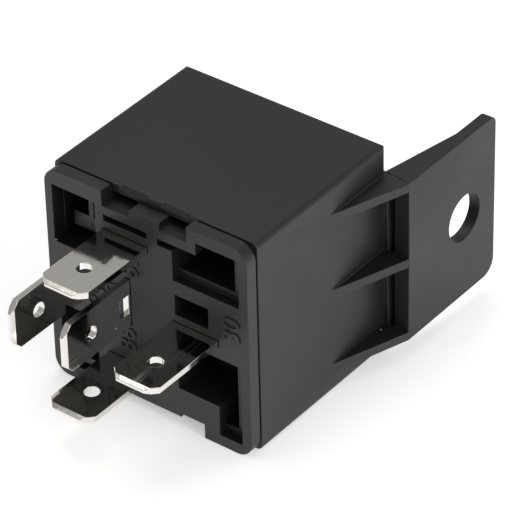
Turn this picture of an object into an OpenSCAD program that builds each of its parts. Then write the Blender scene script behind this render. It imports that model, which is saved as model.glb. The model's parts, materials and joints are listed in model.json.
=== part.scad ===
// Plug-in changeover relay for vehicles, lying on one side of its square case.
// The blades point along -Y, the mounting arm runs back along +Y on the +X side,
// and the origin is the middle of the flat side that the case lies on.

/* [Case] */
// Width and height of the square case
case_w = 28; // [27:0.5:32]
// Length of the case from the face of the base to the closed end
case_len = 25.3; // [24.8:0.1:30]
// Wall of the cover
cover_wall = 1.1; // [0.9:0.05:1.3]
// Wall of the closed end of the cover
cover_end = 1.2; // [0.9:0.1:1.3]
// Radius of the outer edges of the cover
cover_r = 0.8; // [0.4:0.1:1.2]

/* [Base] */
// Thickness of the flange that shows in front of the cover
rim_t = 1.9; // [1.6:0.1:2.3]
// Radius of the corners of the flange
rim_r = 2; // [1:0.1:3]
// Depth of the base from its face to its inner side
base_depth = 7.4; // [7:0.1:7.6]
// Wall left behind the pockets of the base
base_floor = 1.2; // [0.8:0.1:2]
// Clearance between the plug of the base and the cover, on each side
base_gap = 0.05; // [0.03:0.01:0.1]
// Height of the snap ridges of the base
snap_h = 0.3; // [0.2:0.05:0.4]

/* [Blades] */
// Width of a blade
blade_w = 6.3; // [5.6:0.1:6.4]
// Thickness of a blade
blade_t = 0.8; // [0.6:0.05:0.9]
// Length of a blade in front of the base
blade_len = 11.35; // [9:0.05:13]
// Diameter of the detent hole of a blade
blade_hole_d = 1.8; // [1.2:0.1:2.4]
// Distance of the detent hole from the tip
blade_hole_back = 4.5; // [3.5:0.1:5.5]
// Width of the stem that carries a blade through the base
stem_w = 5; // [4:0.1:5.4]
// Clearance round a blade in its slot
slot_gap = 0.05; // [0.03:0.01:0.1]

/* [Mounting arm] */
// Distance of the outer face of the arm from the side of the case
arm_out = 3.35; // [3:0.05:4.5]
// Thickness of the arm at its hole
arm_t = 1.5; // [1.2:0.1:1.8]
// Length of the arm behind the closed end
arm_len = 16.4; // [15.5:0.1:22]
// Height of the arm
arm_h = 21.6; // [18:0.1:22]
// Distance of the middle of the arm below the middle of the case
arm_drop = 0.55; // [0:0.05:1]
// Diameter of the bolt hole
arm_hole_d = 6; // [4.2:0.1:6.6]
// Distance of the bolt hole from the end of the arm
arm_hole_back = 6; // [5:0.05:7]
// Thickness of the gussets
gusset_t = 1.2; // [0.9:0.05:1.6]
// Length of the gussets along the side of the case
gusset_len = 10.3; // [8:0.1:14]

/* [Magnet] */
// Thickness of the sheet of the yoke
yoke_t = 1.5; // [1.2:0.1:1.6]
// Width of the yoke
yoke_w = 11; // [8:0.1:12]
// Thickness of the armature
armature_t = 1.4; // [1.1:0.1:1.5]
// Diameter of the iron core
core_d = 6; // [4.5:0.1:6.6]
// Diameter of the pole face
pole_d = 8.4; // [7:0.1:9]
// Thickness of the pole face
pole_t = 0.7; // [0.5:0.05:0.8]
// Thickness of the flanges of the bobbin
flange_t = 0.9; // [0.7:0.05:1]
// How far the flanges of the bobbin stand out from the winding
flange_rise = 0.6; // [0.4:0.1:1.4]
// Angle through which the armature turns to close
open_angle = 2.6; // [2:0.1:2.7]

/* [Contacts] */
// Thickness of the contact spring
spring_t = 0.25; // [0.2:0.01:0.3]
// Width of the contact spring over the armature
spring_w = 8; // [6:0.1:9]
// Diameter of the contacts
contact_d = 3; // [2.4:0.1:3.4]
// Thickness of each face of the contacts
contact_t = 0.4; // [0.3:0.05:0.45]
// Gap left where two contacts meet
contact_gap = 0.03; // [0.02:0.01:0.05]

/* [Hidden] */
$fn = 64;

fit = 0.03;                       // clearance of pins, rivets and tongues in their holes
over = 1;                         // how far a cutter runs past the face it cuts
half_w = case_w / 2;
front_y = -case_len / 2;          // the origin is at half the length of the case

// Colours
black = "#1b1b1d";
tin = "#c9c6bf";
steel = "#8d9196";
copper = "#b4622f";
bronze = "#b98d4a";

// ---- placing and shapes ---------------------------------------------------------

// Children are drawn with y counted from the face of the base.
module from_face() translate([0, front_y, 0]) children();

// Limits of a span, from its middle and width, or from its start and length.
function around(middle, width) = [middle - width / 2, middle + width / 2];
function along(start, length) = [start, start + length];

// Limits of a span made longer by extra at both ends.
function wider(limits, extra) = [limits[0] - extra, limits[1] + extra];

// A box from its limits along x, y and z.
module block(x, y, z)
    translate([x[0], y[0], z[0]]) cube([x[1] - x[0], y[1] - y[0], z[1] - z[0]]);

// An outline drawn in x and z, as seen from the blades, made solid from y[0] to y[1].
module front_solid(y) translate([0, y[1], 0]) rotate([90, 0, 0]) linear_extrude(y[1] - y[0]) children();

// An outline drawn in x and y, as seen from above, made solid from z[0] to z[1].
module plan_solid(z) translate([0, 0, z[0]]) linear_extrude(z[1] - z[0]) children();

// An outline drawn in y and z, as seen from the side, made solid from x[0] to x[1].
module side_solid(x) translate([x[0], 0, 0]) rotate([90, 0, 90]) linear_extrude(x[1] - x[0]) children();

// A rectangle whose corners have the radius r.
module rounded(low, high, r) {
    translate([low[0] + r, low[1]]) square([high[0] - low[0] - 2 * r, high[1] - low[1]]);
    translate([low[0], low[1] + r]) square([high[0] - low[0], high[1] - low[1] - 2 * r]);
    for (u = [low[0] + r, high[0] - r], v = [low[1] + r, high[1] - r]) translate([u, v]) circle(r);
}

// A shaft of diameter d along y from y[0] to y[1].
module shaft_y(x, z, d, y) translate([x, y[0], z]) rotate([-90, 0, 0]) cylinder(d = d, h = y[1] - y[0]);

// A shaft of diameter d along x from x[0] to x[1].
module shaft_x(y, z, d, x) translate([x[0], y, z]) rotate([0, 90, 0]) cylinder(d = d, h = x[1] - x[0]);

// A straight round wire between two points.
module wire(start, end, d) {
    run = end - start;
    translate(start) rotate([0, acos(run[2] / norm(run)), atan2(run[1], run[0])]) cylinder(d = d, h = norm(run));
}

// ---- cover -------------------------------------------------------------------------

cover_y = [rim_t, case_len];
inside_y = case_len - cover_end;              // inner face of the closed end
inner_w = case_w - 2 * cover_wall;
lead_in = 0.45;                               // chamfer of the cover's edge over the base's notches
lead_in_x = [1, 4.8];
snap_len = 8;
snap_y = [4.4, 5.2];
snap_gap = 0.05;

arm_x = half_w + arm_out;                     // outer face of the arm
arm_seat_x = arm_x - arm_t;                   // inner face of the arm at its hole
arm_end = case_len + arm_len;
arm_mid = half_w - arm_drop;
arm_z = around(arm_mid, arm_h);
arm_front = case_len - 0.4;                   // front edge of the plate of the arm
arm_taper = 10.7;                             // length of the taper of the arm
arm_taper_end = case_len + arm_taper;
arm_hole_y = arm_end - arm_hole_back;
arm_seat_d = arm_hole_d + 3.3;
arm_r = [2, 1];                               // lower and upper corner of the end of the arm
gusset_z = [for (i = [0 : 2]) arm_z[0] + i * (arm_h - gusset_t) / 2];
core_out_x = arm_x - 2;                       // outer side of the pockets between the gussets
core_out_y = case_len + 1.9;

module cover_outside() {
    rear = [half_w - cover_r, case_len - cover_r];
    intersection() {
        front_solid(cover_y) translate([-half_w, 0]) rounded([0, 0], [case_w, case_w], cover_r);
        plan_solid([0, case_w]) rounded([-half_w, -case_w], [half_w, case_len], cover_r);
        side_solid([-half_w, half_w]) rounded([-case_w, 0], [case_len, case_w], cover_r);
    }
}

// Plan of the arm: a plate that thickens into the corner of the case.
module arm_plan() polygon([
    [half_w - cover_wall, case_len],
    [half_w - 0.25, case_len],
    [arm_seat_x, arm_taper_end],
    [arm_seat_x, arm_end],
    [arm_x, arm_end],
    [arm_x, arm_front],
    [half_w - cover_wall, arm_front]
]);

// Plan of a gusset, from its tip on the side of the case out to the plate.
module gusset_plan() polygon([
    [half_w - cover_wall / 2, arm_front - gusset_len],
    [half_w, arm_front - gusset_len + 0.35],
    [arm_x, arm_front],
    [arm_x, arm_front + over],
    [half_w + 0.4, arm_front + over],
    [half_w - cover_wall / 2, case_len - 0.2]
]);

// Plan of the pocket that thins the root of the arm between two gussets.
module arm_pocket_plan() {
    polygon([
        [half_w, arm_front - 1.3],
        [half_w + 0.98, core_out_y - 0.3],
        [half_w + 1.16, core_out_y],
        [core_out_x, core_out_y],
        [core_out_x, arm_front - over],
        [half_w, arm_front - over]
    ]);
}

// Side view of the arm, with the rounded corners of its end.
module arm_side() {
    z = arm_z;
    square_end = arm_end - max(arm_r);
    translate([arm_front - gusset_len - over, z[0]]) square([square_end - arm_front + gusset_len + over, arm_h]);
    translate([square_end - over, z[0] + arm_r[0]]) square([arm_end - square_end + over, arm_h - arm_r[0] - arm_r[1]]);
    translate([square_end - over, z[1] - arm_r[1] - over]) square([arm_end - arm_r[1] - square_end + over, arm_r[1] + over]);
    translate([arm_end - arm_r[0], z[0] + arm_r[0]]) circle(arm_r[0]);
    translate([arm_end - arm_r[1], z[1] - arm_r[1]]) circle(arm_r[1]);
}

module arm() {
    difference() {
        intersection() {
            union() {
                plan_solid(arm_z) arm_plan();
                for (z = gusset_z) plan_solid([z, z + gusset_t]) gusset_plan();
            }
            side_solid([half_w - cover_wall, arm_x]) arm_side();
        }
        for (i = [0 : 1]) plan_solid([gusset_z[i] + gusset_t, gusset_z[i + 1]]) arm_pocket_plan();
        shaft_x(arm_hole_y, arm_mid, arm_hole_d, [half_w, arm_x + over]);
        shaft_x(arm_hole_y, arm_mid, arm_seat_d, [half_w, arm_seat_x]);
    }
}

module cover() color(black) from_face() {
    snap_z = around(half_w, snap_len + 2 * snap_gap);
    groove = inner_w / 2 + snap_h;
    difference() {
        union() {
            cover_outside();
            arm();
        }
        block([-inner_w / 2, inner_w / 2], [rim_t - over, inside_y], [cover_wall, case_w - cover_wall]);
        block([-groove, groove], wider(snap_y, snap_gap), snap_z);
        for (side = [-1, 1]) {
            mid = side * (lead_in_x[0] + lead_in_x[1]) / 2;
            reach = (lead_in_x[1] - lead_in_x[0]) / 2;
            side_solid([mid - reach, mid + reach]) polygon([
                [rim_t - over, case_w + over],
                [rim_t - over, case_w - lead_in - over],
                [rim_t + lead_in + over, case_w + over]
            ]);
        }
    }
}

// ---- base --------------------------------------------------------------------------

plug_w = inner_w - 2 * base_gap;
plug_z = around(half_w, plug_w);
pocket_y = [-over, base_depth - base_floor];
frame_w = 1;                                  // walls between pockets, and of the pocket ribs

// Blades: middle of each blade in x and z
pitch = 16.8;                                 // between opposite blades
upright_z = half_w + 0.35;                    // middle of the blades that stand on edge
blade_87 = [-10.15, upright_z];
blade_87a = [-2.75, upright_z];
blade_30 = [blade_87[0] + pitch, half_w + 0.1];
coil_blades_z = half_w + 0.2;                 // height midway between blades 85 and 86
blade_85 = [blade_87a[0], coil_blades_z + pitch / 2];
blade_86 = [blade_87a[0], coil_blades_z - pitch / 2];

// Windows of the base, each as its limits in x and z. Behind recess_y the pockets are narrower.
recess_y = 1.2;
side_wall = 1.05;                             // wall of the flange beside the left windows
right_wall = 1.24;                            // wall of the flange beside the right windows
low_wall = 1.5;
shelf_x = half_w - right_wall - 1.36;         // side of the pockets behind the right windows
rib_top = half_w + plug_w / 2 - 0.9;          // underside of the bridge at the top of the base
notch_x = [2.05, 5.85];                       // notches of the top edge, on both sides of the middle
upper_step = notch_x[1] + frame_w + 0.2;      // where the upper right window gets higher
upper_z = [half_w + 6.1, half_w + 10.75];
left_x = [side_wall - half_w, blade_85[0] - blade_w / 2 - frame_w];
window_ul = [left_x, [half_w + 4.4, rib_top]];
window_ll = [[left_x[0] + 0.3, left_x[1] - 0.5], [low_wall + 0.25, half_w - 4.05]];
window_ur = [[upper_step, half_w - right_wall], [upper_z[0], case_w - 1.65]];
window_ur_side = [[3.75, upper_step + 0.1], upper_z];
window_small = [[3.9, 8.5], [half_w + 1.5, half_w + 4.2]];
window_lr = [[4, half_w - right_wall], [half_w - 8.55, half_w - 1.9]];
window_lr_foot = [[9.65, half_w - right_wall], [low_wall, half_w - 8.5]];
upper_ledge = 0.95;                           // height of the ledge inside the upper right window
lower_ledge = 0.85;                           // height of the ledge inside the lower right window
slot_top = [[-5.75, 0.27], [half_w + 10.1, half_w + 10.87]];
slot_side = [[1.7, 3.8], [half_w + 9.95, upper_z[1]]];
notch_z = case_w - 2.03;
tongue_z = case_w - 1.1;                              // top of the tongue between the notches
skirt_x = [4.2, 7.45];                        // gap in the lower edge of the flange
skirt_z = [1.45, 1.9];

module pocket(limits, y = pocket_y) block(limits[0], y, limits[1]);

// A window whose pocket is narrowed by a ledge below and by the shelf at its right.
module ledged(limits, ledge) {
    pocket(limits, [-over, recess_y]);
    pocket([[limits[0][0], min(limits[0][1], shelf_x)], [limits[1][0] + ledge, limits[1][1]]]);
}

// Shadow gap between the flange and the cover.
module shadow_gap() {
    gap = [0.28, 0.6];                        // width and depth
    difference() {
        block([-half_w - over, half_w + over], [rim_t - gap[0], rim_t], [-over, case_w + over]);
        block([-half_w + gap[1], half_w - gap[1]], [0, rim_t + over], [gap[1], case_w - gap[1]]);
    }
}

// Slot for a blade: wide for the blade, narrower for its stem behind the shoulders.
shoulder_y = 3;
module blade_slot(at, upright) {
    translate([at[0], 0, at[1]]) rotate([0, upright ? 90 : 0, 0]) {
        wide = blade_w / 2 + slot_gap;
        stem = stem_w / 2 + slot_gap;
        thick = blade_t / 2 + slot_gap;
        block([-wide, wide], [-over, shoulder_y], [-thick, thick]);
        block([-stem, stem], [0, base_depth + over], [-thick, thick]);
    }
}

module base_body() {
    front_solid([0, rim_t]) translate([-half_w, 0]) rounded([0, 0], [case_w, case_w], rim_r);
    front_solid([rim_t - 0.5, base_depth]) rounded([-plug_w / 2, plug_z[0]], [plug_w / 2, plug_z[1]], 0.5);
    for (side = [-1, 1])
        block(
            side > 0 ? [plug_w / 2 - over, plug_w / 2 + snap_h] : [-plug_w / 2 - snap_h, over - plug_w / 2],
            snap_y,
            around(half_w, snap_len)
        );
}

// Ribs that stand in the left pockets, behind the face.
module pocket_ribs() {
    deep = pocket_y[1] + 0.2;
    rib_y = [2, deep];
    rib_z = along(window_ul[1][0] + 1.65, 1.95);
    post_x = along(left_x[1] - 2.6, 0.7);
    block([left_x[0] + 1.3, left_x[1] + 0.1], rib_y, rib_z);
    block(post_x, rib_y, [rib_z[1] - 0.1, window_ul[1][1] + 0.1]);
    block(
        [window_ll[0][0] + 0.15, window_ll[0][1] + 0.1],
        [0.4, deep],
        along(window_ll[1][0] + 0.75, 0.95)
    );
}

module base() color(black) from_face() {
    difference() {
        base_body();
        shadow_gap();
        pocket(window_ul);
        pocket(window_ll);
        ledged(window_ur, upper_ledge);
        ledged(window_ur_side, upper_ledge);
        pocket(window_small);
        ledged(window_lr, 0);
        ledged(window_lr_foot, lower_ledge);
        pocket(slot_top);
        pocket(slot_side);
        for (side = [-1, 1]) {
            x = side > 0 ? notch_x : [-notch_x[1], -notch_x[0]];
            block(x, pocket_y, [notch_z, case_w + over]);
        }
        block([-notch_x[1], notch_x[1]], [-over, rim_t], [tongue_z, case_w + over]);
        block(skirt_x, [-over, rim_t], [-over, skirt_z[1]]);
        block([-10.8, skirt_x[0] + 0.1], [-over, rim_t], [-over, skirt_z[0]]);
        blade_slot(blade_30, false);
        blade_slot(blade_85, false);
        blade_slot(blade_86, false);
        blade_slot(blade_87, true);
        blade_slot(blade_87a, true);
    }
    pocket_ribs();
}

// ---- terminals -----------------------------------------------------------------------

corner = 1.25;                                // cut corners of the tip
bevel = [0.55, 0.22];                         // length and depth of the bevels of the tip

// A blade with its stem, drawn flat: width along x, thickness along z.
// Its stem runs back to stem_end.
module blade(stem_end) {
    tip = -blade_len;
    half = blade_w / 2;
    thick = blade_t / 2;
    difference() {
        intersection() {
            plan_solid([-thick, thick]) polygon([
                [-half, shoulder_y], [-half, tip + corner], [-half + corner, tip],
                [half - corner, tip], [half, tip + corner], [half, shoulder_y],
                [stem_w / 2, shoulder_y], [stem_w / 2, stem_end],
                [-stem_w / 2, stem_end], [-stem_w / 2, shoulder_y]
            ]);
            side_solid([-half, half]) polygon([
                [tip, bevel[1] - thick], [tip, thick - bevel[1]],
                [tip + bevel[0], thick], [stem_end, thick],
                [stem_end, -thick], [tip + bevel[0], -thick]
            ]);
        }
        translate([0, tip + blade_hole_back, -over]) cylinder(d = blade_hole_d, h = 2 * over);
    }
}

// Puts a flat blade at its place, turned on edge if upright.
module placed_blade(at, upright) translate([at[0], 0, at[1]]) rotate([0, upright ? 90 : 0, 0]) children();

foot_y = [base_depth, base_depth + yoke_t];   // foot of the yoke, on the inner side of the base
tongue_w = 3;                                 // tongue of terminal 30 in the foot of the yoke
tongue_shift = 0.7;                           // from the middle of the blade to the edge of the tongue
tongue_x = along(blade_30[0] - tongue_shift, tongue_w);
tail_len = 2;                                 // length of the tails that the coil is wired to
tail_y = base_depth + tail_len;

module terminal_30() color(tin) from_face() {
    placed_blade(blade_30, false) blade(base_depth);
    block(tongue_x, [base_depth - over, foot_y[1]], around(blade_30[1], blade_t));
}

module terminal_85() color(tin) from_face() placed_blade(blade_85, false) blade(tail_y);

module terminal_86() color(tin) from_face() placed_blade(blade_86, false) blade(tail_y);

// A strip that turns through a right angle, drawn in x and y: it comes up along +y with
// its outer side at x = 0, and leaves along +x with its outer side at y = 0.
module bend_plan(t, down, out, r = 0.4) {
    outer = r + t;
    difference() {
        union() {
            translate([0, -down]) square([t, down - outer]);
            translate([outer, -t]) square([out - outer, t]);
            intersection() {
                translate([outer, -outer]) circle(outer);
                translate([0, -outer]) square(outer);
            }
        }
        translate([outer, -outer]) circle(r);
    }
}

shelf_w = 5;                                  // width of the parts that carry the fixed contacts
spring_tip_w = 5.2;                           // width of the contact spring at its contact
contact_x = -8;                               // middle of the fixed contacts
contact_z = half_w;

module terminal_87() color(tin) from_face() {
    shelf_out = contact_x + contact_d / 2 + 0.2 - (blade_87[0] - blade_t / 2);
    difference() {
        union() {
            placed_blade(blade_87, true) blade(base_depth + over);
            translate([blade_87[0] - blade_t / 2, no_y - contact_t, 0])
                plan_solid(around(upright_z, shelf_w))
                bend_plan(blade_t, no_y - contact_t - base_depth, shelf_out);
        }
        shaft_y(contact_x, contact_z, rivet_d + 2 * fit, [base_depth, inside_y]);
    }
}

bypass_gap = 0.9;                             // between the contact spring and the strip beside it
bypass_w = 3.8;
bypass_z = along(contact_z + spring_tip_w / 2 + bypass_gap, bypass_w);
riser_h = 2.4;                                // height of the riser that the strip stands on

module terminal_87a() color(tin) from_face() {
    x = around(blade_87a[0], blade_t);
    low = upright_z - stem_w / 2;
    head_x = contact_x - contact_d / 2 - 0.3;
    difference() {
        union() {
            placed_blade(blade_87a, true) blade(base_depth + over);
            block(x, [base_depth + fit, base_depth + riser_h], [low, bypass_z[1]]);
            translate([x[1], nc_y + contact_t + blade_t, 0]) mirror([1, 0, 0]) {
                plan_solid(bypass_z) bend_plan(blade_t, nc_y + contact_t + blade_t - base_depth - 1, x[1] - head_x);
                plan_solid([contact_z - shelf_w / 2, bypass_z[1]])
                    translate([x[1] - contact_x - shelf_w / 2 + 0.4, -blade_t])
                    square([contact_x - head_x + shelf_w / 2 - 0.4, blade_t]);
            }
        }
        block(wider(x, over), [-1.9, -0.4], around(upright_z, 2.5));
        shaft_y(contact_x, contact_z, rivet_d + 2 * fit, [nc_y, inside_y]);
    }
}

// ---- magnet --------------------------------------------------------------------------

cavity_x = inner_w / 2;                       // inner face of the cover
spring_play = 0.55;                           // room for the spring and its rivet heads
hinge_x = cavity_x - spring_play - spring_t;  // outer face of the yoke, where the armature turns
yoke_x = [hinge_x - yoke_t, hinge_x];
bend_in = 0.3;                                // inner radius of the bend of the yoke
coil_gap = 0.25;                              // between the coil and terminal 87a
flange_x = [blade_87a[0] + blade_t / 2 + coil_gap, yoke_x[0] - bend_in];
flange_w = flange_x[1] - flange_x[0];
winding_d = flange_w - 2 * flange_rise;
coil_x = (flange_x[0] + flange_x[1]) / 2;     // middle of the coil
iron_x = flange_x[0] + 0.6;                   // free ends of the yoke's foot and of the armature
mid_z = half_w;
core_shank_d = 3;
head_room = 0.13;                             // between terminal 87a and the closed end

// The stack from the closed end down to the pole face. All heights are those of the closed relay.
swing = (hinge_x - contact_x + contact_d / 2) * sin(open_angle);
rivet_face = contact_t * 2 + spring_t;
nc_y = inside_y - head_room - blade_t - contact_t;             // face of the upper fixed contact
spring_y = nc_y - contact_gap - swing - contact_t - spring_t;  // underside of the closed spring
armature_y = spring_y - armature_t;                            // underside of the closed armature
pole_gap = 0.04;
pole_y = armature_y - pole_gap;
hinge_y = pole_y + pole_gap / 2;              // the armature turns on the end of the yoke
no_y = spring_y - contact_t - contact_gap;    // face of the lower fixed contact

flange_y = [foot_y[1], pole_y - pole_t - flange_t];
bobbin_wall = 0.8;
bore_d = core_d + 2 * fit;
winding_y = [flange_y[0] + flange_t, flange_y[1]];

module yoke() color(steel) from_face() {
    z = around(mid_z, yoke_w);
    difference() {
        union() {
            translate([yoke_x[1], base_depth, 0]) mirror([1, 0, 0]) mirror([0, 1, 0])
                plan_solid(z) bend_plan(yoke_t, hinge_y - fit - base_depth, yoke_x[1] - iron_x, bend_in);
        }
        shaft_y(coil_x, mid_z, core_shank_d + 2 * fit, wider(foot_y, over));
        block(wider(tongue_x, fit), wider(foot_y, over), around(blade_30[1], blade_t + 2 * fit));
        for (z = yoke_rivet_z) shaft_x(yoke_rivet_y, z, rivet_d + 2 * fit, wider(yoke_x, over));
    }
}

module core() color(steel) from_face() {
    shaft_y(coil_x, mid_z, core_shank_d, [base_depth, foot_y[1] + over]);
    shaft_y(coil_x, mid_z, core_d, [foot_y[1], pole_y - pole_t / 2]);
    shaft_y(coil_x, mid_z, pole_d, [pole_y - pole_t, pole_y]);
}

module bobbin() color("#26282b") from_face() {
    difference() {
        union() {
            for (y = flange_y)
                front_solid([y, y + flange_t])
                translate([coil_x, mid_z]) rounded(flange_w / 2 * [-1, -1], flange_w / 2 * [1, 1], 1.5);
            shaft_y(coil_x, mid_z, bore_d + 2 * bobbin_wall, [flange_y[0], flange_y[1] + flange_t]);
        }
        shaft_y(coil_x, mid_z, bore_d, [flange_y[0] - over, flange_y[1] + flange_t + over]);
        for (side = [-1, 1])
            block(
                [lead_x - 2.2, lead_x + 0.6],
                wider([flange_y[0], winding_y[0]], 0.01),
                around(mid_z + side * flange_w / 2, 2 * notch_depth)
            );
    }
}

module coil_winding() color(copper) from_face() {
    difference() {
        shaft_y(coil_x, mid_z, winding_d, winding_y);
        shaft_y(coil_x, mid_z, bore_d + 2 * bobbin_wall + 2 * fit, wider(winding_y, over));
    }
}

tape_t = 0.15;
tape_y = [winding_y[0] + 0.6, winding_y[1] - 0.4];
module coil_tape() color("#c79a3a") from_face() {
    difference() {
        shaft_y(coil_x, mid_z, winding_d + 2 * tape_t + 2 * fit, tape_y);
        shaft_y(coil_x, mid_z, winding_d + 2 * fit, wider(tape_y, over));
    }
}

// Leads from the tails of terminals 85 and 86 through a notch of the bobbin to the winding.
lead_d = 0.24;
lead_x = coil_x - 1;                          // where a lead meets the winding
lead_z = sqrt(pow(winding_d / 2, 2) - pow(coil_x - lead_x, 2)) + lead_d / 2;
notch_depth = flange_rise + 0.3;
module coil_lead(tail_z, side) wire(
    [blade_85[0] + stem_w / 2 - 0.6, tail_y - 0.5, tail_z - side * (blade_t + lead_d) / 2],
    [lead_x, winding_y[0] + 0.3, mid_z + side * lead_z],
    lead_d
);

module coil_lead_85() color(copper) from_face() coil_lead(blade_85[1], 1);

module coil_lead_86() color(copper) from_face() coil_lead(blade_86[1], -1);

// ---- armature and contacts ---------------------------------------------------------

rivet_d = 1.2;
rivet_head_d = 2;
rivet_head_t = 0.35;
armature_w = 10;
armature_x = [iron_x, hinge_x - 0.3];
bend_r = spring_t + 1;                        // inner radius of the bend of the spring
bend_thin = 0.01;                             // how much the strip thins on each side in the bend
bend_x = hinge_x - bend_r;
armature_rivet_z = [mid_z - 2.6, mid_z + 2.6];
armature_rivet_x = coil_x + 2.4;
yoke_rivet_z = [mid_z - 2.3, mid_z + 2.3];
yoke_rivet_y = base_depth + 6;
spring_leg_y = yoke_rivet_y - 2;

// Children are drawn as in the closed relay, and turned open about the end of the yoke.
module opened() translate([hinge_x, hinge_y, 0]) rotate([0, 0, -open_angle]) translate([-hinge_x, -hinge_y, 0]) children();

module armature() color(steel) from_face() opened() {
    r = 1.1;
    difference() {
        plan_solid(around(mid_z, armature_w)) {
            translate([armature_x[0], armature_y]) square([armature_x[1] - r - armature_x[0], armature_t]);
            intersection() {
                translate([armature_x[0], armature_y]) square([armature_x[1] - armature_x[0], armature_t]);
                translate([armature_x[1] - r, spring_y - r]) circle(r);
            }
        }
        for (z = armature_rivet_z)
            shaft_y(armature_rivet_x, z, rivet_d + 2 * fit, wider([armature_y, spring_y], over));
    }
}

module armature_rivets() color(tin) from_face() opened()
    for (z = armature_rivet_z) {
        shaft_y(armature_rivet_x, z, rivet_d, [armature_y, spring_y + spring_t + rivet_head_t / 2]);
        shaft_y(armature_rivet_x, z, rivet_head_d, along(spring_y + spring_t, rivet_head_t));
    }

module yoke_rivets() color(tin) from_face()
    for (z = yoke_rivet_z) {
        shaft_x(yoke_rivet_y, z, rivet_d, [yoke_x[0], hinge_x + spring_t + rivet_head_t / 2]);
        shaft_x(yoke_rivet_y, z, rivet_head_d, along(hinge_x + spring_t, rivet_head_t));
    }

// Height of the middle of the bend, so that the bend runs smoothly into the tilted arm.
bend_y = hinge_y + (spring_y - hinge_y - bend_r + bend_r * sin(open_angle)) / cos(open_angle);

// End of the flat arm in the closed relay, where the open arm meets the end of the bend.
arm_start = hinge_x - bend_r * cos(open_angle) - (bend_y - hinge_y) * sin(open_angle);

// Outline of the arm of the spring over the armature, in x and z.
module spring_arm_outline() {
    tip = contact_x - contact_d / 2 + 0.2;
    neck = armature_x[0] + 1.2;
    wide = spring_w / 2 - 0.1;                // a little narrower than the bend
    narrow = spring_tip_w / 2;
    translate([0, mid_z]) polygon([
        [arm_start + 0.1, -wide], [arm_start + 0.1, wide],
        [neck + 1.5, wide], [neck, narrow],
        [contact_x, narrow], [tip, 1.2], [tip, -1.2], [contact_x, -narrow],
        [neck, -narrow], [neck + 1.5, -wide]
    ]);
}

module contact_spring() color(bronze) from_face() {
    turn = 90 - open_angle;
    difference() {
        union() {
            block([hinge_x, hinge_x + spring_t], [spring_leg_y, bend_y], around(mid_z, spring_w));
            translate([bend_x, bend_y, 0]) plan_solid(around(mid_z, spring_w)) intersection() {
                difference() {
                    circle(bend_r + spring_t - bend_thin);
                    circle(bend_r + bend_thin);
                }
                polygon([[0, 0], [2 * bend_r, 0], [2 * bend_r, 2 * bend_r], 2.9 * bend_r * [cos(turn), sin(turn)]]);
            }
            opened() front_solid(along(spring_y, spring_t)) spring_arm_outline();
        }
        opened() {
            shaft_y(contact_x, mid_z, rivet_d + 2 * fit, around(spring_y, 2 * over));
            for (z = armature_rivet_z)
                shaft_y(armature_rivet_x, z, rivet_d + 2 * fit, around(spring_y, 2 * over));
        }
        for (z = yoke_rivet_z) shaft_x(yoke_rivet_y, z, rivet_d + 2 * fit, around(hinge_x, 2 * over));
    }
}

module moving_contact() color(tin) from_face() opened() {
    shaft_y(contact_x, mid_z, contact_d, along(spring_y - contact_t, contact_t));
    shaft_y(contact_x, mid_z, rivet_d, along(spring_y - contact_t / 2, spring_t + contact_t));
    shaft_y(contact_x, mid_z, contact_d, along(spring_y + spring_t, contact_t));
}

// Fixed contacts, each a head on a shank through its terminal.
module contact_no() color(tin) from_face() {
    shaft_y(contact_x, contact_z, contact_d, [no_y - contact_t, no_y]);
    shaft_y(contact_x, contact_z, rivet_d, [no_y - contact_t - blade_t, no_y - contact_t / 2]);
}

module contact_nc() color(tin) from_face() {
    shaft_y(contact_x, contact_z, contact_d, [nc_y, nc_y + contact_t]);
    shaft_y(contact_x, contact_z, rivet_d, [nc_y + contact_t / 2, nc_y + contact_t + blade_t]);
}

// ---- resistor across the coil -----------------------------------------------------------

resistor_d = 2.3;
resistor_len = 6.5;
resistor_cap = 1.4;
resistor_lead_d = 0.6;
resistor_x = blade_85[0] - stem_w / 2 + 0.5;
resistor_y = base_depth + resistor_d / 2 + 0.1;

module resistor_body() color("#7fa3b8") from_face()
    translate([resistor_x, resistor_y, mid_z]) {
        cylinder(d = resistor_d * 0.86, h = resistor_len, center = true);
        for (end = [-1, 1])
            translate([0, 0, end * (resistor_len - resistor_cap) / 2])
                cylinder(d = resistor_d, h = resistor_cap, center = true);
    }

module resistor_leads() color(tin) from_face()
    for (end = [[mid_z + resistor_len / 2, blade_85[1] - blade_t / 2], [blade_86[1] + blade_t / 2, mid_z - resistor_len / 2]])
        translate([resistor_x, resistor_y, end[0]]) cylinder(d = resistor_lead_d, h = end[1] - end[0]);

cover();
base();
terminal_30();
terminal_85();
terminal_86();
terminal_87();
terminal_87a();
yoke();
core();
bobbin();
coil_winding();
coil_tape();
coil_lead_85();
coil_lead_86();
armature();
contact_spring();
moving_contact();
armature_rivets();
yoke_rivets();
contact_no();
contact_nc();
resistor_body();
resistor_leads();
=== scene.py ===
"""The looks of a plug-in changeover relay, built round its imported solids.

Every length is in metres and every place is in the frame of the solids: the blades point along
-Y, the mounting arm runs back along +Y on the +X side, and the case lies on z = 0.
"""

import json
import logging
import math
from dataclasses import dataclass
from enum import Enum

import bmesh
import bpy
import numpy as np
from mathutils import Matrix, Vector


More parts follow.
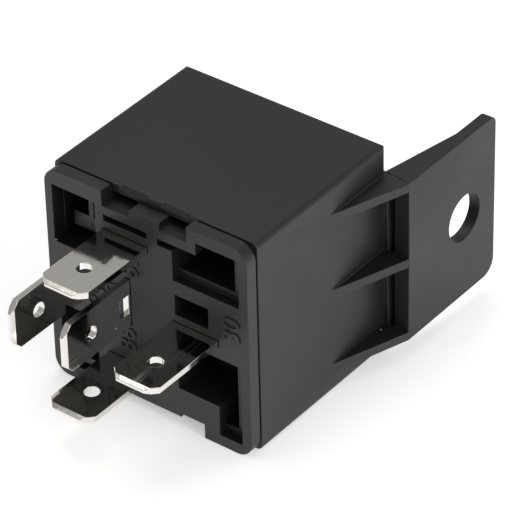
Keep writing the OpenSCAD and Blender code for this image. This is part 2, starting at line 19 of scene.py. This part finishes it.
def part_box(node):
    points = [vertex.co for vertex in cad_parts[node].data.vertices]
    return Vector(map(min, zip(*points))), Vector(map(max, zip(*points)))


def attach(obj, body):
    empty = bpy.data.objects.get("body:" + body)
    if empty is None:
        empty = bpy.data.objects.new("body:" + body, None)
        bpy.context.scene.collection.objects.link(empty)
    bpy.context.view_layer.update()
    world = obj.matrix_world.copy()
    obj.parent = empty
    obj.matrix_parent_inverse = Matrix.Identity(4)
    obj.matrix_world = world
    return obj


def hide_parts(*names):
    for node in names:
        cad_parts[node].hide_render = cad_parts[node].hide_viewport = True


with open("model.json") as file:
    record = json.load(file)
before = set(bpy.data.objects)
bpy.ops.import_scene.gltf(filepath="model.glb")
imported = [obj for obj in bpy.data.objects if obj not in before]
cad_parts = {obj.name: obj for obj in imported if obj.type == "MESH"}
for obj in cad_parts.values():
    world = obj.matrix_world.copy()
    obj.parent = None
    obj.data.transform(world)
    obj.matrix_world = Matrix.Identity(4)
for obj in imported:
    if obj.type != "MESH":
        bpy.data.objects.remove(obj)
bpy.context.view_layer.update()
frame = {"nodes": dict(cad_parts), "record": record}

LOG = logging.getLogger("relay")
MM = 0.001
SAME_POINT = 1e-7                   # points closer than this are one point
FLAT_ANGLE = math.radians(0.4)      # faces that differ by less are merged into one
CASE = "case"
ARMATURE = "armature"
FRONT_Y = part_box("base")[0][1]      # the face of the base

Triple = tuple[float, float, float]


class Axis(Enum):
    """The direction that a round piece is turned about, or that a grain runs along."""

    X = 0
    Y = 1
    Z = 2


# ---- arrays and meshes ------------------------------------------------------------------


def loops_mesh(
    name: str, rings: np.ndarray, caps: bool = True, closed: bool = False
) -> bpy.types.Object:
    """Makes a tube-like mesh from rings of points.

    Point (i, j) is the j-th point of the i-th ring. Each quad joins (i, j), (i, j + 1),
    (i + 1, j + 1) and (i + 1, j), with j counted round the ring.

    Args:
        name: the piece's name.
        rings: an array of shape (rings, points, 3).
        caps: whether the first and the last ring are closed by a face.
        closed: whether the last ring joins the first.

    Returns:
        The new object, with its faces turned outwards.
    """
    n, m = rings.shape[:2]
    i = np.arange(n if closed else n - 1)[:, None]
    j = np.arange(m)[None, :]
    after_i, after_j = (i + 1) % n, (j + 1) % m
    quads = np.stack([i * m + j, i * m + after_j, after_i * m + after_j, after_i * m + j], axis=-1)
    faces = quads.reshape(-1, 4).tolist()
    if caps and not closed:
        faces += [list(range(m))[::-1], list(range((n - 1) * m, n * m))]
    mesh = bpy.data.meshes.new(name)
    mesh.from_pydata(rings.reshape(-1, 3).tolist(), [], faces)
    obj = link(name, mesh)
    face_outwards(mesh)
    return obj


def link(name: str, mesh: bpy.types.Mesh) -> bpy.types.Object:
    """Puts a mesh into the scene as an object at the origin and returns the object."""
    obj = bpy.data.objects.new(name, mesh)
    bpy.context.scene.collection.objects.link(obj)
    return obj


def face_outwards(mesh: bpy.types.Mesh) -> None:
    """Merges doubled points and turns every face of a closed mesh outwards."""
    bm = bmesh.new()
    bm.from_mesh(mesh)
    bmesh.ops.remove_doubles(bm, verts=bm.verts, dist=SAME_POINT)
    bmesh.ops.recalc_face_normals(bm, faces=bm.faces)
    bm.to_mesh(mesh)
    bm.free()


def smooth(obj: bpy.types.Object, sharp_deg: float = 35) -> None:
    """Shades an object smoothly, with edges sharper than sharp_deg left sharp."""
    obj.data.shade_smooth()
    obj.data.set_sharp_from_angle(angle=math.radians(sharp_deg))


def merged_copy(
    node: str, name: str, edge: float, segments: int = 2, sharp_deg: float = 30
) -> bpy.types.Object:
    """Copies a solid's node, merges it into one skin and softens its edges.

    Args:
        node: the node that the copy stands for.
        name: the copy's name.
        edge: width of the softened edges, in metres.
        segments: faces across each softened edge.
        sharp_deg: edges with a larger angle than this are softened.

    Returns:
        The copy, which replaces the node and rides on its body.
    """
    source = frame["nodes"][node]
    mesh = source.data.copy()
    mesh.name = name
    bm = bmesh.new()
    bm.from_mesh(mesh)
    bmesh.ops.remove_doubles(bm, verts=bm.verts, dist=2 * SAME_POINT)
    bmesh.ops.dissolve_limit(bm, angle_limit=FLAT_ANGLE, verts=bm.verts, edges=bm.edges)
    bm.to_mesh(mesh)
    bm.free()
    obj = link(name, mesh)
    mesh.materials.clear()
    smooth(obj, sharp_deg)
    bevel = obj.modifiers.new("soft_edges", "BEVEL")
    bevel.width, bevel.segments, bevel.limit_method = edge, segments, "ANGLE"
    bevel.angle_limit = math.radians(sharp_deg)
    bevel.use_clamp_overlap = False
    bevel.harden_normals = True
    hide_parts(node)
    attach(obj, body_holding(node))
    return obj


def body_holding(node: str) -> str:
    """The name of the body that a node belongs to."""
    return next(b for b, nodes in frame["record"]["behaviour"]["bodies"].items() if node in nodes)


# ---- shader groups ------------------------------------------------------------------------


class Group:
    """A shader node group under construction, with short ways to add sockets and nodes."""

    def __init__(self, name: str) -> None:
        """Starts an empty group called name."""
        self.tree = bpy.data.node_groups.new(name, "ShaderNodeTree")
        self.ins = self.tree.nodes.new("NodeGroupInput")
        self.outs = self.tree.nodes.new("NodeGroupOutput")

    def takes(self, name: str, default: float) -> None:
        """Adds a number that the group takes, with its default."""
        socket = self.tree.interface.new_socket(name, in_out="INPUT", socket_type="NodeSocketFloat")
        socket.default_value = default

    def takes_vector(self, name: str) -> None:
        """Adds a vector that the group takes."""
        self.tree.interface.new_socket(name, in_out="INPUT", socket_type="NodeSocketVector")

    def gives(self, name: str, source: bpy.types.NodeSocket) -> None:
        """Adds a number that the group gives, taken from source."""
        self.tree.interface.new_socket(name, in_out="OUTPUT", socket_type="NodeSocketFloat")
        self.tree.links.new(source, self.outs.inputs[name])

    def node(self, kind: str, **settings: object) -> bpy.types.Node:
        """Adds a node of a kind, with its settings."""
        return add_node(self.tree, kind, **settings)

    def join(self, source: bpy.types.NodeSocket, target: bpy.types.NodeSocket) -> None:
        """Links two sockets."""
        self.tree.links.new(source, target)

    def maths(self, operation: str, a: object, b: object = None) -> bpy.types.NodeSocket:
        """Adds a Math node on sockets or numbers and returns its output."""
        return maths(self.tree, operation, a, b)


def add_node(tree: bpy.types.NodeTree, kind: str, **settings: object) -> bpy.types.Node:
    """Adds a node to a tree and sets its properties."""
    node = tree.nodes.new(kind)
    for key, value in settings.items():
        setattr(node, key, value)
    return node


def maths(
    tree: bpy.types.NodeTree, operation: str, a: object, b: object = None
) -> bpy.types.NodeSocket:
    """Adds a Math node.

    Args:
        tree: the tree that gets the node.
        operation: what the node works out.
        a: the first socket or number.
        b: the second socket or number, where the operation has one.

    Returns:
        The node's output.
    """
    node = add_node(tree, "ShaderNodeMath", operation=operation)
    for socket, value in zip(node.inputs, (a, b)):
        if isinstance(value, bpy.types.NodeSocket):
            tree.links.new(value, socket)
        elif value is not None:
            socket.default_value = float(value)
    return node.outputs[0]


def spark_grain() -> bpy.types.NodeTree:
    """The grain of a spark-eroded mould: two sizes of pits, one laid over the other.

    Returns:
        A group that takes Scale and gives Height and Tone, both about 0 to 1.
    """
    g = Group("spark_grain")
    g.takes_vector("Vector")
    g.takes("Scale", 4000)
    fine = g.node("ShaderNodeTexNoise", noise_dimensions="3D")
    coarse = g.node("ShaderNodeTexVoronoi", feature="SMOOTH_F1")
    for node, factor in ((fine, 1.0), (coarse, 0.55)):
        g.join(g.ins.outputs["Vector"], node.inputs["Vector"])
        g.join(g.maths("MULTIPLY", g.ins.outputs["Scale"], factor), node.inputs["Scale"])
    fine.inputs["Detail"].default_value = 3
    fine.inputs["Roughness"].default_value = 0.6
    small_pits = g.maths("MULTIPLY", fine.outputs[0], 0.6)
    large_pits = g.maths("MULTIPLY", coarse.outputs["Distance"], 0.4)
    g.gives("Height", g.maths("ADD", small_pits, large_pits))
    g.gives("Tone", fine.outputs[0])
    return g.tree


def flow_clouds() -> bpy.types.NodeTree:
    """Broad uneven gloss of moulded plastic, as the melt leaves it.

    Returns:
        A group that takes Scale and gives Cloud, about 0 to 1.
    """
    g = Group("flow_clouds")
    g.takes_vector("Vector")
    g.takes("Scale", 90)
    noise = g.node("ShaderNodeTexNoise", noise_dimensions="3D")
    noise.inputs["Detail"].default_value = 4
    noise.inputs["Distortion"].default_value = 0.6
    g.join(g.ins.outputs["Vector"], noise.inputs["Vector"])
    g.join(g.ins.outputs["Scale"], noise.inputs["Scale"])
    g.gives("Cloud", noise.outputs[0])
    return g.tree


def dust_specks() -> bpy.types.NodeTree:
    """A few pale specks: small discs round the points of a cell pattern.

    Each cell has its own number from 0 to 1, and only the cells below Share have a speck.

    Returns:
        A group that takes Scale, Size and Share and gives Mask, 0 or 1.
    """
    g = Group("dust_specks")
    g.takes_vector("Vector")
    g.takes("Scale", 500)
    g.takes("Size", 0.05)
    g.takes("Share", 0.05)
    cells = g.node("ShaderNodeTexVoronoi", feature="F1")
    g.join(g.ins.outputs["Vector"], cells.inputs["Vector"])
    g.join(g.ins.outputs["Scale"], cells.inputs["Scale"])
    number = g.node("ShaderNodeSeparateColor")
    g.join(cells.outputs["Color"], number.inputs[0])
    near = g.maths("LESS_THAN", cells.outputs["Distance"], g.ins.outputs["Size"])
    chosen = g.maths("LESS_THAN", number.outputs[0], g.ins.outputs["Share"])
    g.gives("Mask", g.maths("MULTIPLY", near, chosen))
    return g.tree


def rub_marks() -> bpy.types.NodeTree:
    """Fine scratches that run along one direction, from noise that is drawn out that way.

    Returns:
        A group that takes Vector, already drawn out, Scale and Threshold, and gives Lines, which
        is 0 where there is no scratch.
    """
    g = Group("rub_marks")
    g.takes_vector("Vector")
    g.takes("Scale", 900)
    g.takes("Threshold", 0.62)
    noise = g.node("ShaderNodeTexNoise", noise_dimensions="3D")
    noise.inputs["Detail"].default_value = 2
    g.join(g.ins.outputs["Vector"], noise.inputs["Vector"])
    g.join(g.ins.outputs["Scale"], noise.inputs["Scale"])
    over = g.maths("SUBTRACT", noise.outputs[0], g.ins.outputs["Threshold"])
    g.gives("Lines", g.maths("MAXIMUM", g.maths("MULTIPLY", over, 6), 0))
    return g.tree


def rubbed_and_highlit_edges() -> bpy.types.NodeTree:
    """Edges paler from wear and a painted highlight: the angle between the rounded and the plain
    normal.

    Returns:
        A group that takes Width, in metres, and gives Mask, 0 to 1.
    """
    g = Group("rubbed_and_highlit_edges")
    g.takes("Width", 0.0002)
    bevel = g.node("ShaderNodeBevel", samples=4)
    g.join(g.ins.outputs["Width"], bevel.inputs["Radius"])
    plain = g.node("ShaderNodeNewGeometry")
    dot = g.node("ShaderNodeVectorMath", operation="DOT_PRODUCT")
    g.join(bevel.outputs[0], dot.inputs[0])
    g.join(plain.outputs["Normal"], dot.inputs[1])
    gap = g.maths("SUBTRACT", 1, dot.outputs["Value"])
    g.gives("Mask", g.maths("MINIMUM", g.maths("MULTIPLY", gap, 4), 1))
    return g.tree


@dataclass(frozen=True)
class Effects:
    """The shared shader groups, each built once."""

    grain: bpy.types.NodeTree
    clouds: bpy.types.NodeTree
    specks: bpy.types.NodeTree
    rubs: bpy.types.NodeTree
    edges: bpy.types.NodeTree

    @classmethod
    def build(cls) -> "Effects":
        """Builds every group."""
        return cls(spark_grain(), flow_clouds(), dust_specks(), rub_marks(), rubbed_and_highlit_edges())


EFFECTS = Effects.build()


# ---- finishes -----------------------------------------------------------------------------


class Dress:
    """A material under construction, with its Principled BSDF and object coordinates."""

    def __init__(self, name: str, base: Triple, roughness: float, metallic: float = 0.0) -> None:
        """Starts a material with plain settings."""
        self.material = bpy.data.materials.new(name)
        self.material.use_nodes = True
        self.material.diffuse_color = (*base, 1)
        self.tree = self.material.node_tree
        self.shader = self.tree.nodes["Principled BSDF"]
        self.shader.inputs["Base Color"].default_value = (*base, 1)
        self.shader.inputs["Roughness"].default_value = roughness
        self.shader.inputs["Metallic"].default_value = metallic
        self.coords = add_node(self.tree, "ShaderNodeTexCoord").outputs["Object"]

    def stretched(self, scale: Triple) -> bpy.types.NodeSocket:
        """Object coordinates drawn out by a scale for each direction."""
        mapping = add_node(self.tree, "ShaderNodeMapping")
        mapping.inputs["Scale"].default_value = scale
        self.tree.links.new(self.coords, mapping.inputs["Vector"])
        return mapping.outputs[0]

    def effect(
        self,
        group: bpy.types.NodeTree,
        vector: bpy.types.NodeSocket | None = None,
        **values: float,
    ) -> bpy.types.Node:
        """Places a shared group.

        Args:
            group: the group to place.
            vector: what the pattern follows, object coordinates where it is left out.
            values: numbers for the group's sockets.

        Returns:
            The group node.
        """
        node = add_node(self.tree, "ShaderNodeGroup", node_tree=group)
        if "Vector" in node.inputs:
            self.tree.links.new(vector or self.coords, node.inputs["Vector"])
        for key, value in values.items():
            node.inputs[key].default_value = value
        return node

    def blend_colour(
        self, mask: bpy.types.NodeSocket, a: object, b: object
    ) -> bpy.types.NodeSocket:
        """Mixes two colours by a mask.

        Args:
            mask: 0 for the first colour, 1 for the second.
            a: the first colour, a triple or a socket.
            b: the second colour, a triple or a socket.

        Returns:
            The mixed colour.
        """
        mix = add_node(self.tree, "ShaderNodeMix", data_type="RGBA")
        self.tree.links.new(mask, mix.inputs["Factor"])
        sockets = [s for s in mix.inputs if s.type == "RGBA"]
        for socket, value in zip(sockets, (a, b)):
            if isinstance(value, bpy.types.NodeSocket):
                self.tree.links.new(value, socket)
            else:
                socket.default_value = (*value, 1)
        return next(s for s in mix.outputs if s.type == "RGBA")

    def ramp(self, source: bpy.types.NodeSocket, low: float, high: float) -> bpy.types.NodeSocket:
        """Maps a number from 0..1 to low..high."""
        node = add_node(self.tree, "ShaderNodeMapRange")
        self.tree.links.new(source, node.inputs["Value"])
        node.inputs["To Min"].default_value = low
        node.inputs["To Max"].default_value = high
        return node.outputs[0]

    def colour(self, socket: bpy.types.NodeSocket) -> None:
        """Links the base colour."""
        self.tree.links.new(socket, self.shader.inputs["Base Color"])

    def roughness(self, socket: bpy.types.NodeSocket) -> None:
        """Links the roughness."""
        self.tree.links.new(socket, self.shader.inputs["Roughness"])

    def bump(self, height: bpy.types.NodeSocket, depth: float, strength: float = 1.0) -> None:
        """Links a bump of a depth in metres, over any bump that is already there."""
        node = add_node(self.tree, "ShaderNodeBump")
        node.inputs["Distance"].default_value = depth
        node.inputs["Strength"].default_value = strength
        self.tree.links.new(height, node.inputs["Height"])
        old = self.shader.inputs["Normal"].links
        if old:
            self.tree.links.new(old[0].from_socket, node.inputs["Normal"])
        self.tree.links.new(node.outputs[0], self.shader.inputs["Normal"])


@dataclass(frozen=True)
class MouldedPlastic:
    """Black thermoplastic, with the grain of its mould, uneven gloss, dust, and paler edges that
    are partly wear and partly a painted highlight.
    """

    name: str
    base: Triple
    pale: Triple
    rough: tuple[float, float]
    grain_scale: float
    grain_depth: float
    dust: float = 0.03                  # share of the cells that hold a speck
    edge_wear_and_highlight_width: float = 0.16 * MM        # how far from an edge the wear and the painted highlight reach
    edge_wear_and_highlight_share: float = 0.35             # how much of the paler edge colour, wear and painted highlight, shows
    edge_wear_and_highlight_gain: float = 2.2               # how much paler than pale the edge wear and the painted highlight are
    dust_colour: Triple = (0.62, 0.62, 0.6)

    def material(self) -> bpy.types.Material:
        """Builds the material."""
        d = Dress(self.name, self.base, sum(self.rough) / 2)
        grain = d.effect(EFFECTS.grain, Scale=self.grain_scale)
        cloud = d.effect(EFFECTS.clouds, Scale=120)
        # Edge mask for the band that gets the wear and the painted highlight.
        edges = d.effect(EFFECTS.edges, Width=self.edge_wear_and_highlight_width)
        dust = d.effect(EFFECTS.specks, Scale=620, Size=0.085, Share=self.dust)
        pits = d.ramp(grain.outputs["Tone"], 0.0, 1.0)
        gloss = d.ramp(cloud.outputs["Cloud"], 0.25, 0.75)
        body = d.blend_colour(maths(d.tree, "MULTIPLY", pits, gloss), self.base, self.pale)
        # Paler edges: part wear, part a painted highlight along every edge.
        weighted_mask = maths(d.tree, "MULTIPLY", edges.outputs["Mask"], self.edge_wear_and_highlight_share)
        worn_and_highlit = d.blend_colour(weighted_mask, body, tuple(self.edge_wear_and_highlight_gain * v for v in self.pale))
        d.colour(d.blend_colour(dust.outputs["Mask"], worn_and_highlit, self.dust_colour))
        d.roughness(d.ramp(cloud.outputs["Cloud"], *self.rough))
        d.shader.inputs["Specular IOR Level"].default_value = 0.5
        d.bump(grain.outputs["Height"], self.grain_depth)
        return d.material


@dataclass(frozen=True)
class PlatedSheet:
    """Bright plated sheet metal with fine rubs along one direction and a soft unevenness."""

    name: str
    base: Triple
    tarnish: Triple
    rough: float
    along: Axis = Axis.Y
    wave: float = 2e-6                  # depth of the unevenness of the sheet, in metres
    drawn: float = 0.04                 # how much a rub is drawn out along its direction

    def material(self) -> bpy.types.Material:
        """Builds the material."""
        d = Dress(self.name, self.base, self.rough, metallic=1.0)
        scale = [1.0, 1.0, 1.0]
        scale[self.along.value] = self.drawn
        rubs = d.effect(EFFECTS.rubs, d.stretched(tuple(scale)), Scale=2600, Threshold=0.56)
        cloud = d.effect(EFFECTS.clouds, Scale=160)
        blotch = d.effect(EFFECTS.clouds, Scale=520)
        d.colour(d.blend_colour(d.ramp(cloud.outputs["Cloud"], -0.4, 1.1), self.base, self.tarnish))
        uneven = d.ramp(blotch.outputs["Cloud"], self.rough * 0.5, self.rough * 1.5)
        weighted_mask = maths(d.tree, "MULTIPLY", rubs.outputs["Lines"], 0.12)
        d.roughness(maths(d.tree, "ADD", uneven, weighted_mask))
        d.bump(cloud.outputs["Cloud"], self.wave * 20)
        d.bump(rubs.outputs["Lines"], self.wave * 0.5)
        return d.material


@dataclass(frozen=True)
class Enamel:
    """Lacquered or enamelled surface with a clear coat and a soft unevenness."""

    name: str
    base: Triple
    other: Triple
    rough: float
    metallic: float = 0.0
    coat: float = 0.6
    scale: float = 700

    def material(self) -> bpy.types.Material:
        """Builds the material."""
        d = Dress(self.name, self.base, self.rough, metallic=self.metallic)
        cloud = d.effect(EFFECTS.clouds, Scale=self.scale)
        d.colour(d.blend_colour(cloud.outputs["Cloud"], self.base, self.other))
        d.roughness(d.ramp(cloud.outputs["Cloud"], self.rough * 0.7, self.rough * 1.3))
        d.shader.inputs["Coat Weight"].default_value = self.coat
        d.shader.inputs["Coat Roughness"].default_value = 0.12
        d.bump(cloud.outputs["Cloud"], 1e-5)
        return d.material


class Finishes:
    """Every finish of the relay, each made once."""

    def __init__(self) -> None:
        """Builds the materials."""
        self.case = MouldedPlastic(
            "case_plastic", (0.008, 0.008, 0.0098), (0.015, 0.015, 0.018), (0.42, 0.56),
            grain_scale=5200, grain_depth=2.6e-5,
        ).material()
        self.base = MouldedPlastic(
            "base_plastic", (0.007, 0.007, 0.0073), (0.013, 0.013, 0.0134), (0.38, 0.52),
            grain_scale=3600, grain_depth=1.4e-5,
        ).material()
        self.blade = PlatedSheet(
            "blade_metal", (0.8, 0.775, 0.74), (0.7, 0.67, 0.61), 0.09
        ).material()
        self.iron = PlatedSheet(
            "iron", (0.46, 0.47, 0.48), (0.36, 0.36, 0.35), 0.32, Axis.Z
        ).material()
        self.bobbin = MouldedPlastic(
            "bobbin_plastic", (0.02, 0.021, 0.023), (0.035, 0.036, 0.038), (0.4, 0.55),
            grain_scale=3000, grain_depth=1.5e-5, dust=0,
        ).material()
        self.copper = Enamel(
            "copper_wire", (0.62, 0.2, 0.06), (0.48, 0.13, 0.035), 0.28, metallic=1.0, coat=0.8
        ).material()
        self.tape = Enamel(
            "tape", (0.6, 0.36, 0.05), (0.52, 0.3, 0.035), 0.3, coat=0.5, scale=300
        ).material()
        self.bronze = PlatedSheet(
            "spring_bronze", (0.64, 0.42, 0.2), (0.5, 0.31, 0.13), 0.22, Axis.X
        ).material()
        self.silver = PlatedSheet(
            "contact_silver", (0.84, 0.83, 0.8), (0.7, 0.68, 0.62), 0.16, Axis.Z
        ).material()
        self.rivet = PlatedSheet(
            "rivet_steel", (0.58, 0.58, 0.57), (0.45, 0.45, 0.43), 0.26, Axis.Z
        ).material()
        self.resistor = Enamel(
            "resistor_paint", (0.2, 0.38, 0.5), (0.17, 0.34, 0.46), 0.3, coat=0.7
        ).material()


def dress(obj: bpy.types.Object, material: bpy.types.Material) -> None:
    """Gives a piece its one material."""
    obj.data.materials.clear()
    obj.data.materials.append(material)


def dress_node(node: str, material: bpy.types.Material) -> None:
    """Gives a solid's node a better material."""
    obj = frame["nodes"][node]
    if not obj.material_slots:
        obj.data.materials.append(material)
    for held in obj.material_slots:
        held.material = material
    LOG.info("node %s dressed as %s", node, material.name)


# ---- case -----------------------------------------------------------------------------------


@dataclass
class Case:
    """The cover with its arm, and the base with its pockets and marks."""

    finishes: Finishes
    cover_edge: float = 0.09 * MM
    base_edge: float = 0.07 * MM
    mark_height: float = 2.35 * MM
    capital_share: float = 0.7          # height of a figure as a share of the letter size
    mark_rise: float = 0.14 * MM
    mark_swell: float = 0.03 * MM       # how much the strokes are thickened

    def build(self) -> list[bpy.types.Object]:
        """Builds the cover, the base and the marks."""
        cover = merged_copy("cover", "cover_skin", self.cover_edge)
        dress(cover, self.finishes.case)
        base = merged_copy("base", "base_skin", self.base_edge)
        dress(base, self.finishes.base)
        return [cover, base, *self.marks()]

    def marks(self) -> list[bpy.types.Object]:
        """Builds the raised terminal numbers, which read upwards on the face of the base."""
        places = {
            "30": (12.8, 15.1),
            "86": (-1.9, 7.5),
            "85": (-1.1, 17.9),
            "87": (-7.2, 11.6),
            "87a": (-4.3, 11.4),
        }
        return [self.mark(text, x * MM, z * MM) for text, (x, z) in places.items()]

    def mark(self, text: str, x: float, z: float) -> bpy.types.Object:
        """Builds one raised number.

        Args:
            text: the terminal's number.
            x: where the foot of the letters is.
            z: where the first letter starts.

        Returns:
            The number as a mesh, sunk a little into the face.
        """
        curve = bpy.data.curves.new(f"mark_{text}", "FONT")
        curve.body, curve.size = text, self.mark_height / self.capital_share
        curve.extrude, curve.offset = self.mark_rise, self.mark_swell
        curve.resolution_u = 6
        made = link(f"mark_{text}_outline", curve)
        bpy.context.view_layer.update()
        mesh = bpy.data.meshes.new_from_object(made)
        bpy.data.objects.remove(made)
        upwards = Matrix(((0, -1, 0, x), (0, 0, -1, FRONT_Y), (1, 0, 0, z), (0, 0, 0, 1)))
        mesh.transform(upwards)
        obj = link(f"mark_{text}", mesh)
        dress(obj, self.finishes.base)
        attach(obj, CASE)
        return obj


# ---- blades ---------------------------------------------------------------------------------


@dataclass
class Blades:
    """The five terminals: bright plated sheet with softened stamped edges."""

    finishes: Finishes
    edge: float = 0.07 * MM
    names: tuple[str, ...] = ("30", "85", "86", "87", "87a")

    def build(self) -> list[bpy.types.Object]:
        """Builds every terminal."""
        return [self.terminal(name) for name in self.names]

    def terminal(self, name: str) -> bpy.types.Object:
        """Builds the terminal of a number."""
        obj = merged_copy(f"terminal_{name}", f"terminal_{name}_skin", self.edge)
        dress(obj, self.finishes.blade)
        return obj


# ---- magnet ---------------------------------------------------------------------------------


@dataclass
class Coil:
    """The winding with its tape, bobbin, leads, core and yoke."""

    finishes: Finishes
    wire: float = 0.24 * MM
    sleeve_r: float = 4 * MM            # inner radius of the winding
    round_steps: int = 56
    wire_steps: int = 8                 # rows of points across one wire

    def build(self) -> list[bpy.types.Object]:
        """Builds the winding and dresses the solid pieces."""
        for node, material in {
            "yoke": self.finishes.iron,
            "core": self.finishes.iron,
            "bobbin": self.finishes.bobbin,
            "coil_tape": self.finishes.tape,
            "coil_lead_85": self.finishes.copper,
            "coil_lead_86": self.finishes.copper,
        }.items():
            dress_node(node, material)
        return [self.winding()]

    def winding(self) -> bpy.types.Object:
        """Builds the outer layer of turns over a plain sleeve.

        The surface is a wavy sleeve: at the height h along the axis and the angle t the radius is
        outer - wire / 2 + wire / 2 * |cos(pi * (h / wire - t / (2 pi)))|, so its crests climb by
        one wire for each turn, as a helix does.

        Returns:
            The winding, in place of its solid.
        """
        low, high = (np.array(v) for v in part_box("coil_winding"))
        centre = (low + high) / 2
        outer, inner = (high[0] - low[0]) / 2, self.sleeve_r
        length = high[1] - low[1]
        rows = int(length / self.wire) * self.wire_steps
        h = np.linspace(0, length, rows + 1)[:, None]
        t = np.linspace(0, 2 * np.pi, self.round_steps, endpoint=False)[None, :]
        crest = np.abs(np.cos(np.pi * (h / self.wire - t / (2 * np.pi))))
        r = outer - self.wire / 2 + self.wire / 2 * crest
        r = np.vstack([np.full_like(t, inner), r, np.full_like(t, inner)])
        h = np.vstack([[[0.0]], h, [[length]]])
        y = low[1] + np.broadcast_to(h, r.shape)
        rings = np.stack([centre[0] + r * np.cos(t), y, centre[2] + r * np.sin(t)], axis=-1)
        obj = loops_mesh("coil_turns", rings, caps=False, closed=True)
        smooth(obj, 60)
        dress(obj, self.finishes.copper)
        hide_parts("coil_winding")
        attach(obj, CASE)
        return obj


@dataclass
class Contacts:
    """The armature, its spring and rivets, the contacts and the resistor."""

    finishes: Finishes

    def build(self) -> list[bpy.types.Object]:
        """Dresses the solid pieces."""
        for node, material in {
            "armature": self.finishes.iron,
            "contact_spring": self.finishes.bronze,
            "moving_contact": self.finishes.silver,
            "armature_rivets": self.finishes.rivet,
            "yoke_rivets": self.finishes.rivet,
            "contact_no": self.finishes.silver,
            "contact_nc": self.finishes.silver,
            "resistor_body": self.finishes.resistor,
            "resistor_leads": self.finishes.blade,
        }.items():
            dress_node(node, material)
        return []


# ---- studio ---------------------------------------------------------------------------------


@dataclass(frozen=True)
class Softbox:
    """A square area light that looks at a point."""

    name: str
    place: Triple
    size: float
    power: float

    def build(self, aim: Vector) -> None:
        """Puts the light into the scene, turned to aim."""
        data = bpy.data.lights.new(self.name, "AREA")
        data.size, data.energy = self.size, self.power
        light = bpy.data.objects.new(self.name, data)
        light.location = self.place
        light.rotation_euler = (aim - Vector(self.place)).to_track_quat("-Z", "Y").to_euler()
        bpy.context.scene.collection.objects.link(light)


@dataclass
class Studio:
    """Floor, lights, surroundings and camera."""

    azimuth: float = 38.3239
    elevation: float = 35.9276
    roll: float = -1.4795
    distance: float = 418.118 * MM
    target: Triple = (5.836 * MM, -0.65 * MM, 17.15 * MM)
    focal_ratio: float = 7.4080         # focal length over the width of the sensor
    sensor: float = 36.0
    world_strength: float = 0.42
    floor_half: float = 3.0
    floor_drop: float = 0.02 * MM       # keeps the floor clear of the side that lies on it
    boxes: tuple[Softbox, ...] = (
        Softbox("key", (0.62, -0.1, 0.3), 0.4, 2.2),
        Softbox("overhead", (-0.15, 0.1, 0.8), 0.5, 2.0),
    )

    def build(self) -> None:
        """Builds the studio."""
        self.camera()
        self.floor()
        for box in self.boxes:
            box.build(Vector(self.target))
        world = bpy.data.worlds.new("surroundings")
        world.use_nodes = True
        shade = world.node_tree.nodes["Background"]
        shade.inputs["Color"].default_value = (1, 1, 1, 1)
        shade.inputs["Strength"].default_value = self.world_strength
        bpy.context.scene.world = world
        bpy.context.scene.view_settings.view_transform = "Standard"

    def camera(self) -> None:
        """Builds the camera.

        It stands at a distance from the target, turned by azimuth, elevation and roll.
        """
        a, e, r = (math.radians(v) for v in (self.azimuth, self.elevation, self.roll))
        back = Vector((math.sin(a) * math.cos(e), -math.cos(a) * math.cos(e), math.sin(e)))
        right = (-back).cross(Vector((0, 0, 1))).normalized()
        up = right.cross(-back)
        across = right * math.cos(r) + up * math.sin(r)
        upright = up * math.cos(r) - right * math.sin(r)
        data = bpy.data.cameras.new("camera")
        data.sensor_width = self.sensor
        data.lens = self.sensor * self.focal_ratio
        data.clip_start, data.clip_end = 0.01, 20
        cam = bpy.data.objects.new("camera", data)
        turn = Matrix((across, upright, back)).transposed().to_4x4()
        cam.matrix_world = Matrix.Translation(Vector(self.target) + back * self.distance) @ turn
        bpy.context.scene.collection.objects.link(cam)
        bpy.context.scene.camera = cam

    def floor(self) -> None:
        """Builds the plain pale floor, a little below the side that the case lies on."""
        mesh = bpy.data.meshes.new("floor")
        half, z = self.floor_half, -self.floor_drop
        corners = [(-half, -half, z), (half, -half, z), (half, half, z), (-half, half, z)]
        mesh.from_pydata(corners, [], [(0, 1, 2, 3)])
        obj = link("floor", mesh)
        d = Dress("floor_paper", (0.93, 0.93, 0.93), 0.9)
        d.shader.inputs["Emission Color"].default_value = (1, 1, 1, 1)
        d.shader.inputs["Emission Strength"].default_value = 0.4
        obj.data.materials.append(d.material)


def main() -> None:
    """Builds the relay and its studio."""
    logging.basicConfig(level=logging.INFO, format="%(message)s")
    finishes = Finishes()
    made: list[bpy.types.Object] = []
    for part in (Case(finishes), Blades(finishes), Coil(finishes), Contacts(finishes)):
        pieces = part.build()
        names = ", ".join(p.name for p in pieces) or "solids dressed"
        LOG.info("%s: %s", type(part).__name__, names)
        made += pieces
    Studio().build()
    LOG.info("%d pieces made", len(made))


if __name__ == "__main__":
    main()
